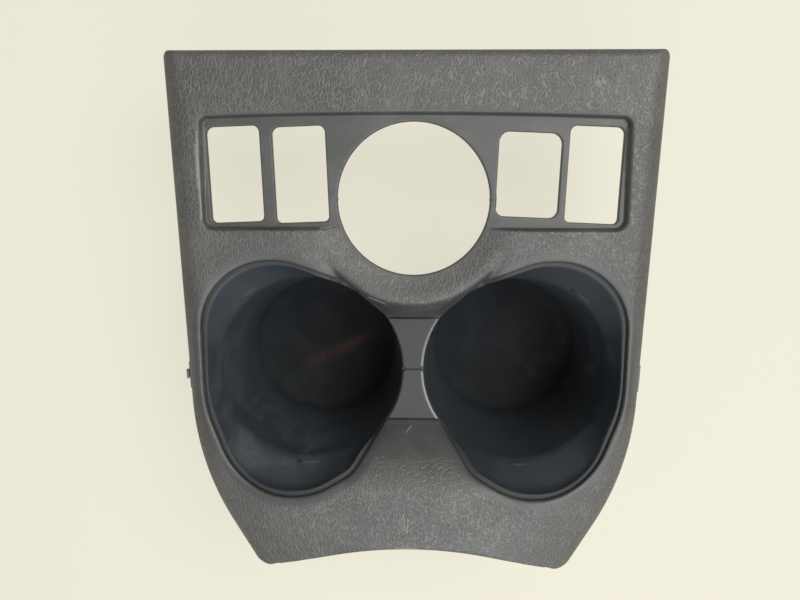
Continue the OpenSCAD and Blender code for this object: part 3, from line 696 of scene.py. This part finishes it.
def reach(ring, centre, angles):
    """Distance from a centre to a ring along each angle: the nearest crossing of ray and side."""
    u = np.stack([np.cos(angles), np.sin(angles)], 1)[:, None, :]
    a = ring - centre
    e = np.roll(ring, -1, axis=0) - ring
    den = u[..., 0] * e[:, 1] - u[..., 1] * e[:, 0]
    den = np.where(np.abs(den) < 1e-9, 1e-9, den)
    dist = (a[:, 0] * e[:, 1] - a[:, 1] * e[:, 0]) / den
    along = (a[:, 0] * u[..., 1] - a[:, 1] * u[..., 0]) / den
    return np.where((along >= -1e-6) & (along <= 1 + 1e-6) & (dist > 0), dist, 1e9).min(1)


def under_panel(p):
    """Height of the flange: the panel's top less its wall and the flange's gap along the normal."""
    gx, gy = steepness(p)
    return panel_height(p) - (PANEL_WALL + FLANGE_GAP) * np.sqrt(1 + np.minimum(gx ** 2 + gy ** 2, 4.5))


theta = np.linspace(0, 2 * math.pi, AROUND + 1)[:-1]
ray = np.stack([np.cos(theta), np.sin(theta)], 1)
cup_middle = np.array([CUP_X, 0.0])


def all_round(r, z):
    """Level circle of the cup's profile."""
    return np.full(AROUND, r), np.full(AROUND, z)


def over_cup(r):
    """Flange height at a distance from the cup's middle, per angle."""
    return under_panel(cup_middle + ray * r[:, None])


# Lip: it follows the panel's opening and drops to the web at the neck
lobe_ring = rounded(right_lobe, inset=LIP_INSET)
lobe_reach = reach(lobe_ring, cup_middle, theta)
open_side = fade(np.abs(np.degrees(theta) - 180), *NECK_ANGLES)
is_open = open_side > 0.98
lip_z = np.where(open_side > 0, np.maximum(over_cup(lobe_reach), NECK_SIDE_Z), NECK_SIDE_Z) * open_side
lip_z += NECK_SIDE_Z * (1 - open_side)
flare = np.maximum(lobe_reach - CUP_R, 0.0)
lip_r = CUP_R + flare * np.clip(lip_z / MOUTH_Z, 0, 1)

# Profile of a cup as rows of (radius, height) per angle: floor, fillet, tapered wall, flared mouth
profile = [all_round(r, -CUP_DEPTH) for r in (2, 4, 6, 9, 12, 15, 18, 21, 24, FLOOR_R)]
for a in np.radians(np.linspace(8, 83.4, 9)):
    profile.append(all_round(FLOOR_R + FLOOR_FILLET * math.sin(a),
                             FLOOR_FILLET - CUP_DEPTH - FLOOR_FILLET * math.cos(a)))
for share in np.linspace(0, 1, 24)[1:]:
    z = -WALL_FOOT + share * (np.minimum(lip_z, 0) + WALL_FOOT)
    profile.append((CUP_R + z * CUP_TAPER, z))
for share in np.linspace(0, 1, 9)[1:]:
    z = np.maximum(lip_z, 0) * share
    profile.append((CUP_R + flare * np.clip(z / MOUTH_Z, 0, 1) + 0.02 * share, np.where(lip_z > 0, z, lip_z)))

# Profile past the lip: the flange, its edge, and back under it
lip_start = len(profile)
profile += [(lip_r + 0.12, lip_z), (lip_r + 0.4, lip_z)]
flange_side = np.where(np.cos(theta) > 0.3, (FLANGE_HALF - CUP_X) / np.maximum(np.cos(theta), 0.3), 1e3)
flange_r = np.minimum(lobe_reach + FLANGE_W, flange_side)
flange_r = np.where(is_open, np.maximum(flange_r, lip_r + 2.6), CUP_R + INSERT_WALL)
for share in (0.35, 0.7, 1.0):
    r = (lip_r + 0.4) + (flange_r - lip_r - 0.4) * share
    profile.append((r, np.where(is_open, np.minimum(over_cup(r), 40), NECK_SIDE_Z)))
lip_end = len(profile)
profile.append((flange_r, profile[-1][1] - 2.2))
outer_r = np.where(is_open, np.minimum(lip_r + INSERT_WALL, flange_r - 0.3), CUP_R + INSERT_WALL - 0.01)
outer_z = np.where(is_open, np.minimum(over_cup(outer_r), lip_z + 3) - 2.4, -2.9)
profile.append((outer_r, outer_z))

# Profile of the outside: down past the web, along the taper, round the fillet and under the floor
below_r, below_z = CUP_R + INSERT_WALL - 0.4, -3.4
for share in np.linspace(0, 1, 7)[1:]:
    profile.append((outer_r + (below_r - outer_r) * share, outer_z + (below_z - outer_z) * share))
for z in np.linspace(-6, -51, 12):
    profile.append(all_round(CUP_R + INSERT_WALL + z * CUP_TAPER, z))
for a in np.radians(np.linspace(83.4, 8, 8)):
    profile.append(all_round(BASE_R + FLOOR_FILLET * math.sin(a),
                             FLOOR_FILLET - WEB_Z - FLOOR_FILLET * math.cos(a)))
profile += [all_round(r, -WEB_Z) for r in (27, 20, 12, 5)]
cup_points = np.concatenate([np.column_stack([cup_middle + ray * r[:, None], z]) for r, z in profile]
                            + [[[CUP_X, 0, -CUP_DEPTH], [CUP_X, 0, -WEB_Z]]])
row = np.arange(len(profile) * AROUND).reshape(len(profile), AROUND)
cup_quads = np.concatenate([np.stack([a, b, np.roll(b, -1), np.roll(a, -1)], 1)
                            for a, b in zip(row[:-1], row[1:])])
floor_fan = np.stack([np.full(AROUND, row.size), row[0], np.roll(row[0], -1)], 1)
base_fan = np.stack([np.full(AROUND, row.size + 1), np.roll(row[-1], -1), row[-1]], 1)


def section_bar(rows_y, half_widths, section, sink=None):
    """Closed bar along Y: x = share of the half width + offset at each section point, a fan at each end."""
    k = len(section)
    share, off, z = np.array(section, float).T
    x = share * half_widths[:, None] + off
    z_rows = np.repeat(z[None, :], len(rows_y), 0)
    if sink is not None:
        z_rows = z_rows - sink(x, rows_y[:, None]) * (z_rows > -1.2)
    points = np.stack([x, np.repeat(rows_y[:, None], k, 1), z_rows], 2).reshape(-1, 3)
    index = np.arange(len(rows_y) * k).reshape(len(rows_y), k)
    quads = np.concatenate([np.stack([a, np.roll(a, -1), np.roll(b, -1), b], 1)
                            for a, b in zip(index[:-1], index[1:])])
    ends = [[0, rows_y[0], z.min() / 2], [0, rows_y[-1], z.min() / 2]]
    n = len(points)
    fans = np.concatenate([np.stack([np.full(k, n), np.roll(index[0], -1), index[0]], 1),
                           np.stack([np.full(k, n + 1), index[-1], np.roll(index[-1], -1)], 1)])
    return np.concatenate([points, ends]), [quads, fans]


def web_half(y, r):
    """Half width of the web between circles of radius r about both cups: CUP_X - sqrt(r^2 - y^2)."""
    return CUP_X - np.sqrt(r * r - np.minimum(np.abs(y), 25.4) ** 2)


def web_sink(x, y):
    """Depth of the moulded line across the web at Y zero, with a nick at each of its ends."""
    line = np.clip(1.6 - np.abs(y) / 0.25, 0, 1) * 0.5
    nick = np.clip(1.5 - np.hypot(np.abs(x) - 4.2, y) / 0.8, 0, 1) * 1.3
    return np.maximum(line, nick)


# Web: its section has a crisp left edge and a wider, gentler right one that carries a painted highlight; the
# pad carries it below
web_y = np.unique(np.round(np.concatenate([np.linspace(-WEB_HALF_Y, WEB_HALF_Y, 120),
                                           np.linspace(-1.6, 1.6, 33)]), 3))
web_section = [(-1, 0.05, -3.6), (-1, 0.05, -0.4), (-1, 0.15, -0.15), (-1, 0.4, -0.02)]
web_section += [(s, -1.3 * max(s, 0) - 0.6 * min(s, 0), 0.0) for s in np.linspace(-1, 1, 41)]
web_section += [(1, -1.2, -0.02), (1, -0.3, -0.25), (1, -0.15, -0.32), (1, -0.05, -0.6), (1, -0.05, -3.6),
                (0, 0, -3.6)]
web = section_bar(web_y, web_half(web_y, CUP_R + 0.02), web_section[::-1], web_sink)
pad_y = np.linspace(-PAD_HALF_Y, PAD_HALF_Y, 61)
pad_section = [(-1, 0.1, -3.55), (-1, 0.1, -2.5), (1, -0.1, -2.5), (1, -0.1, -3.55)]
pad = section_bar(pad_y, web_half(pad_y, CUP_R + 0.05), pad_section[::-1])

# A slender rib down each cup's wall beside the web
rib_z = np.repeat(RIB_Z, 4)
rib_wall = CUP_X - np.sqrt((CUP_R + rib_z * CUP_TAPER) ** 2 - RIB_Y ** 2)
rib_points = np.column_stack([rib_wall + np.tile([-0.5, -0.5, 0.3, 0.3], 2),
                              RIB_Y + np.tile([-0.25, 0.25, 0.25, -0.25], 2), rib_z])
rib_faces = np.array([[0, 1, 2, 3], [7, 6, 5, 4], [0, 4, 5, 1], [1, 5, 6, 2], [2, 6, 7, 3], [3, 7, 4, 0]])

# Both cups, and an ear with its arm at each screw
LEFT = np.array([-1, 1, 1])
parts = [(cup_points, [cup_quads, floor_fan, base_fan]),
         (cup_points * LEFT, [f[:, ::-1] for f in (cup_quads, floor_fan, base_fan)]),
         web, pad, (rib_points, [rib_faces[:, ::-1]]), (rib_points * LEFT, [rib_faces])]
for x, y in SCREWS:
    arm = math.hypot(x - CUP_X, y)
    angle = math.atan2(y, x - CUP_X)
    arm_points, arm_faces = boxes([((CUP_R + 1.0, -ARM_HALF, ARM_Z[0]), (arm - 3.4, ARM_HALF, ARM_Z[1]))])
    spin = np.array([[math.cos(angle), -math.sin(angle)], [math.sin(angle), math.cos(angle)]])
    arm_points[:, :2] = arm_points[:, :2] @ spin.T + cup_middle
    ear_points, ear_faces = tube(np.array([x, y]), BORE_R, EAR_R, *EAR_Z, 48)
    parts += [(arm_points, arm_faces), (ear_points, ear_faces)]
    parts += [(arm_points * LEFT, [f[:, ::-1] for f in arm_faces]),
              (ear_points * LEFT, [f[:, ::-1] for f in ear_faces])]
insert_points, insert_faces = joined(parts)
insert = new_piece("cups", insert_points, insert_faces)
px, py, pz = insert_points.T


def blob(x, y, z, rx, ry, rz):
    """Weight of the insert's points about a place: exp(-(dx / rx)^2 - (dy / ry)^2 - (dz / rz)^2)."""
    return np.exp(-((px - x) / rx) ** 2 - ((py - y) / ry) ** 2 - ((pz - z) / rz) ** 2)


def run_weight(line, half_width):
    """Weight of the floor's points about a line of places: exp(-(distance / half width)^2)."""
    nearest = np.full(px.shape, 1e9)
    for (x0, y0), (x1, y1) in zip(line[:-1], line[1:]):
        along = np.clip(((px - x0) * (x1 - x0) + (py - y0) * (y1 - y0))
                        / ((x1 - x0) ** 2 + (y1 - y0) ** 2), 0, 1)
        nearest = np.minimum(nearest, np.hypot(px - x0 - along * (x1 - x0), py - y0 - along * (y1 - y0)))
    return np.exp(-(nearest / half_width) ** 2) * (pz < -50)


# Dust and painted light on the walls, a dried run and stains on the floors, painted shade at the cups'
# bottoms, a painted highlight along the web's right edge, and the greyer web and lips
run = 0.55 * run_weight([(-50, -9.5), (-40, -5.6), (-31, -1.5), (-20.6, 4.9)], 3.0)
run += 0.55 * run_weight([(-36, -3.8), (-29, 0.2), (-26, 2.0)], 2.2)
# Dust and painted light: this is dust on the walls, and it also lightens the left cup's wall at its left and
# rear, where light falls, and the shaded outer wall of the right cup
dust_and_light = 1.0 * blob(-68, -28, -5, 16, 16, 30) + 0.8 * blob(-45, -40, -8, 16, 9, 28)
dust_and_light += 0.35 * blob(-78, 0, 0, 8, 20, 30) + 0.85 * blob(82, -12, -14, 18, 34, 34) + 0.12
residue = 1.25 * run + 1.0 * blob(70, 4, -50, 4, 15, 6) + 0.9 * blob(56.9, -13.8, -56, 2.4, 2.4, 3)
# Painted highlight: a strip along the web's right edge, stronger to the rear, painted pale as a glint
painted_glint = (px > web_half(py, CUP_R) - 1.0) & (px < 12) & (np.abs(py) < 21.2) & (pz > -0.5)
grey = ((np.abs(px) < 10.8) & (np.abs(py) < 21.2) & (pz > -1.2)).astype(float)
for first_point in (0, len(cup_points)):
    grey[first_point + lip_start * AROUND:first_point + lip_end * AROUND] = 1.0
point_attribute(insert, "dust_and_light", np.clip(dust_and_light, 0, 1))
point_attribute(insert, "residue", np.clip(residue, 0, 1.6))
# Painted shade: weight of the cups' bottoms, which the material darkens near to black
point_attribute(insert, "deep", (1 - fade(pz, -54.0, -40.0)) * (pz > -57))
point_attribute(insert, "edge", painted_glint * (0.75 - 0.012 * py))
point_attribute(insert, "web", grey)


def satin_plastic():
    """Blue-black satin, greyer on the web and lips, with dust and dried drink; painted shade at the floors, a
    painted highlight on the web's edge and painted light on the walls.
    """
    material, tree, shader, place = new_material("dark satin plastic")
    shade = noise_node(tree, place, 30.0, 3.0)["Fac"]
    base = mixed(tree, shade, (0.021, 0.026, 0.031), (0.027, 0.031, 0.037))
    deep = attribute_node(tree, "deep")
    # Painted shade: the bottoms of the cups near to black
    base = mixed(tree, math_node(tree, "MULTIPLY", deep, 0.8), base, (0.004, 0.005, 0.006))
    # Dust and painted light: pale specks where this weight lies
    dust = group_node(tree, dirt, place, Amount=attribute_node(tree, "dust_and_light"))["Mask"]
    base = mixed(tree, dust, base, (0.055, 0.06, 0.063))
    dried = attribute_node(tree, "residue")
    crust = group_node(tree, dirt, place, Amount=dried)["Mask"]
    crust = math_node(tree, "MAXIMUM", crust, math_node(tree, "MULTIPLY", dried, 0.4))
    base = mixed(tree, crust, base, (0.06, 0.03, 0.021))
    web_part = attribute_node(tree, "web")
    base = mixed(tree, web_part, base, (0.026, 0.027, 0.027))
    # Painted highlight: the pale strip along the web's right edge
    base = mixed(tree, attribute_node(tree, "edge"), base, (0.21, 0.215, 0.21))
    feed(tree, shader["Base Color"], base)
    rough = math_node(tree, "ADD", 0.42, math_node(tree, "MULTIPLY", dust, 0.25))
    rough = math_node(tree, "ADD", rough, math_node(tree, "MULTIPLY", web_part, 0.06))
    rough = math_node(tree, "ADD", rough, math_node(tree, "MULTIPLY", deep, 0.52), clamp=True)
    feed(tree, shader["Roughness"], rough)
    shader["Specular IOR Level"].default_value = 0.2
    fine = noise_node(tree, place, 3200.0, 2.0, 0.6)["Fac"]
    feed(tree, shader["Normal"], bump_node(tree, fine, 0.00003, 0.5))
    return material


insert.data.materials.append(satin_plastic())
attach(insert, "root")
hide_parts("cup_insert")


# Clips
# Six spring clips, bent from dark phosphated sheet steel and pushed on the panel's towers and side
# skirts from below. Their CAD solids are shown as they are.
def metal(name, scale, dark, light, metallic, roughness):
    """Metal whose colour and roughness change with a fine mottle."""
    material, tree, shader, place = new_material(name)
    mottle = noise_node(tree, place, scale, 4.0, 0.6)["Fac"]
    feed(tree, shader["Base Color"], mixed(tree, mottle, dark, light))
    shader["Metallic"].default_value = metallic
    feed(tree, shader["Roughness"], step_node(tree, mottle, 0.3, 0.7, *roughness))
    return material


def dress(prefix, material):
    """Gives a material to the CAD nodes whose names start with a prefix."""
    for name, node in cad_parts.items():
        if name.startswith(prefix):
            node.data.materials.clear()
            node.data.materials.append(material)


dress("clip_", metal("phosphated spring steel", 260.0, (0.045, 0.045, 0.048), (0.09, 0.09, 0.094),
                     0.7, (0.36, 0.55)))

# Screws
# Six zinc plated pan-head screws with cross recesses, driven up through the insert's ears into the
# panel's bosses. Their CAD solids are shown as they are.
dress("screw_", metal("zinc plated steel", 420.0, (0.42, 0.42, 0.42), (0.56, 0.56, 0.54),
                      1.0, (0.28, 0.44)))

# Table
# A pale plain table top under the part. Rays that show the background see it partly self-lit, so that
# it reads as light, and it keeps the part's shadow.
TABLE_HALF = 6.0


def seen_ray(tree):
    """One for camera, glossy and transmission rays, which show the background, and else zero."""
    ray = tree.nodes.new("ShaderNodeLightPath").outputs
    seen = math_node(tree, "MAXIMUM", ray["Is Camera Ray"], ray["Is Glossy Ray"])
    return math_node(tree, "MAXIMUM", seen, ray["Is Transmission Ray"])


floor_mesh = bpy.data.meshes.new("table")
floor_mesh.from_pydata([(-TABLE_HALF, -TABLE_HALF, 0), (TABLE_HALF, -TABLE_HALF, 0),
                        (TABLE_HALF, TABLE_HALF, 0), (-TABLE_HALF, TABLE_HALF, 0)], [], [(0, 1, 2, 3)])
floor = bpy.data.objects.new("table", floor_mesh)
bpy.context.scene.collection.objects.link(floor)
pale, tree, shader, _ = new_material("pale table")
shader["Base Color"].default_value = (0.78, 0.75, 0.64, 1)
shader["Roughness"].default_value = 0.7
glow = tree.nodes.new("ShaderNodeEmission")
glow.inputs["Color"].default_value = (0.78, 0.755, 0.63, 1)
glow.inputs["Strength"].default_value = 1.0
blend = tree.nodes.new("ShaderNodeMixShader")
tree.links.new(math_node(tree, "MULTIPLY", seen_ray(tree), 0.88), blend.inputs[0])
tree.links.new(tree.nodes["Principled BSDF"].outputs[0], blend.inputs[1])
tree.links.new(glow.outputs[0], blend.inputs[2])
tree.links.new(blend.outputs[0], tree.nodes["Material Output"].inputs["Surface"])
floor_mesh.materials.append(pale)


# Light
# A soft key from the front right, a weaker fill from the rear and an even sky, which the background's
# rays see brighter.
def area_light(name, spot, target, size, power, colour):
    """Round area light at a spot in metres, turned to its target."""
    data = bpy.data.lights.new(name, "AREA")
    data.shape = "DISK"
    data.size = size
    data.energy = power
    data.color = colour
    light = bpy.data.objects.new(name, data)
    light.location = spot
    light.rotation_euler = (Vector(target) - Vector(spot)).to_track_quat("-Z", "Y").to_euler()
    bpy.context.scene.collection.objects.link(light)


area_light("key", (0.52, 0.36, 1.0), (0, 0, 0.06), 0.7, 15.0, (1.0, 0.985, 0.95))
area_light("fill", (0.1, -0.34, 0.55), (0, -0.04, 0.06), 0.6, 4.6, (0.97, 0.985, 1.0))
world = bpy.data.worlds.new("even sky")
world.use_nodes = True
sky_tree = world.node_tree
sky = sky_tree.nodes["Background"].inputs
sky["Color"].default_value = (1.0, 0.99, 0.95, 1)
feed(sky_tree, sky["Strength"], step_node(sky_tree, seen_ray(sky_tree), 0.0, 1.0, 0.4, 0.8))
bpy.context.scene.world = world

# Camera
# Nearly straight down, 365 mm above the table, with the photo's field of view: its focal length is
# 760 picture points at a width of 800.
FOCAL_POINTS, PICTURE_POINTS = 760.0, 800.0
CAMERA_SPOT = (0.003227, 0.050291, 0.3652)
camera_data = bpy.data.cameras.new("camera")
camera_data.sensor_width = 36.0
camera_data.lens = 36.0 * FOCAL_POINTS / PICTURE_POINTS
camera_data.clip_start = 0.01
camera = bpy.data.objects.new("camera", camera_data)
right = Vector((0.999587, 0.002591, -0.028637))
down = Vector((0.006667, -0.989673, 0.143185))
ahead = Vector((-0.02797, -0.143317, -0.989281))
turned = Matrix((right, -down, -ahead)).transposed().to_4x4()
camera.matrix_world = Matrix.Translation(CAMERA_SPOT) @ turned
bpy.context.scene.collection.objects.link(camera)
bpy.context.scene.camera = camera
bpy.context.scene.view_settings.view_transform = "Standard"
